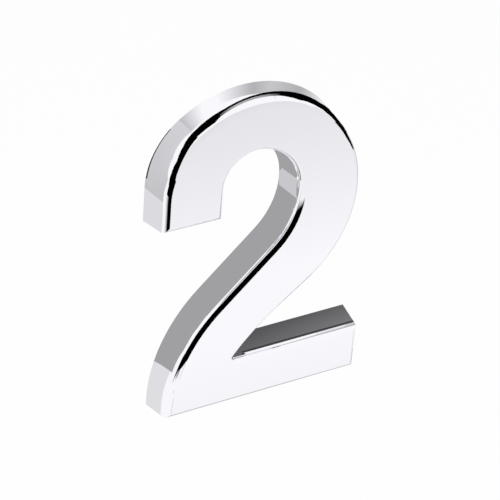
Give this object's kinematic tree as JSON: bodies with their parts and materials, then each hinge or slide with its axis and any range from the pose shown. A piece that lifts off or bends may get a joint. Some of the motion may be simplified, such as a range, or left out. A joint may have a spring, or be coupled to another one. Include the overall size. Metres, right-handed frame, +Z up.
{
  "type": "self-adhesive house number",
  "caption": "Raised figure two for a door or wall: chrome-plated hollow moulding with sloping sides and a rounded front edge, on a foam adhesive pad.",
  "frame": {"origin": "on the pad's glued face, at the figure's mid-width, in the middle of the diagonal stroke, 26 mm above the bottom edge", "axes": "+Z up the figure, +X to the reader's right, +Y into the wall; the figure faces -Y"},
  "size_m": [0.0484, 0.0076, 0.07],
  "materials": {
    "chrome_plate": "bright mirror chrome, electroplated on moulded ABS",
    "adhesive_foam": "matt closed-cell foam with a tacky acrylic face"
  },
  "bodies": {
    "root": {"digit": "chrome_plate", "adhesive_pad": "adhesive_foam"}
  },
  "joints": []
}
